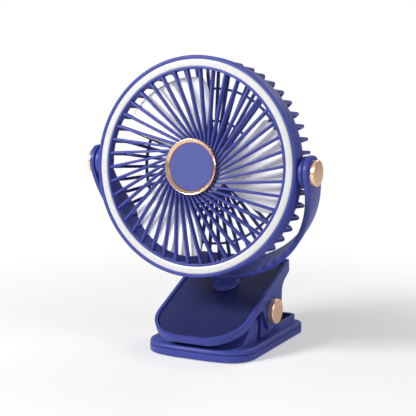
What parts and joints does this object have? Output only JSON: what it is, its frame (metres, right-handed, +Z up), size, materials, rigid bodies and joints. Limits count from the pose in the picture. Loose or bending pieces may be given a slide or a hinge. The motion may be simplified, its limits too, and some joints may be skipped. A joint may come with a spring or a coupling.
{
  "type": "clip-on camping fan",
  "caption": "Portable battery fan with a ring light round a swirled grille, on a tilting yoke, a leaning swivel and a sprung clamp that is also its base.",
  "frame": {"origin": "middle of the base's underside, where it stands on a table", "axes": "+Z up, the fan faces along -Y, +X to the viewer's right when looking at the fan's face"},
  "size_m": [0.1838, 0.1209, 0.2218],
  "materials": {
    "blue_plastic": "satin moulded",
    "panel_plastic": "satin moulded, darker",
    "blade_plastic": "pale translucent",
    "diffuser": "opal",
    "gilt": "polished rose gilt",
    "steel": "plain",
    "black_rubber": "matt",
    "board": "circuit board",
    "cell_wrap": "shrink wrap",
    "clear_lens": "clear"
  },
  "bodies": {
    "base": {"lower_jaw": "blue_plastic", "base_foot_pad": "black_rubber", "clamp_pin": "steel", "clamp_spring": "steel", "clamp_cap_right": "gilt", "clamp_cap_left": "gilt"},
    "clamp": {"upper_jaw": "blue_plastic", "top_panel": "panel_plastic", "upper_grip_pad": "black_rubber", "rear_cover": "blue_plastic", "indicator_lens": "clear_lens", "charging_inlet": "steel", "control_board": "board", "battery_cells": "cell_wrap"},
    "power_key": {"power_button": "blue_plastic"},
    "light_key": {"light_button": "blue_plastic"},
    "fork": {"yoke": "blue_plastic", "swivel_bolt": "steel", "swivel_nut": "steel", "swivel_washer": "steel", "pivot_cap_right": "gilt", "pivot_cap_left": "gilt", "pivot_bolt_right": "steel", "pivot_bolt_left": "steel"},
    "head": {"rim_housing": "blue_plastic", "front_grille": "blue_plastic", "hub_ring": "gilt", "hub_disc": "blue_plastic", "light_diffuser": "diffuser", "light_board": "board", "rear_grille": "blue_plastic", "motor_case": "steel"},
    "rotor": {"impeller": "blade_plastic", "motor_shaft": "steel"}
  },
  "joints": [
    {"name": "clamp_open", "type": "hinge", "parent": "base", "child": "clamp", "pos_m": [0, 0.004, 0.028], "axis": [-1, 0, 0], "range_deg": [0, 26], "stiffness_Nm_per_rad": 0.9, "springref_deg": -57.3, "deforming": ["clamp_spring"]},
    {"name": "swivel_turn", "type": "hinge", "parent": "clamp", "child": "fork", "pos_m": [0, -0.0405, 0.141], "axis": [0, -0.4067, 0.9135], "range_deg": [-170, 170]},
    {"name": "head_tilt", "type": "hinge", "parent": "fork", "child": "head", "pos_m": [0, -0.0405, 0.141], "axis": [1, 0, 0], "range_deg": [-90, 90]},
    {"name": "impeller_spin", "type": "hinge", "parent": "head", "child": "rotor", "pos_m": [0, -0.0405, 0.141], "axis": [0, -0.9957, 0.0924], "continuous": true},
    {"name": "power_press", "type": "slide", "parent": "clamp", "child": "power_key", "axis": [0, -1, 0], "range_m": [0, 0.0006], "stiffness_N_per_m": 400},
    {"name": "light_press", "type": "slide", "parent": "clamp", "child": "light_key", "axis": [0, -1, 0], "range_m": [0, 0.0006], "stiffness_N_per_m": 400}
  ]
}
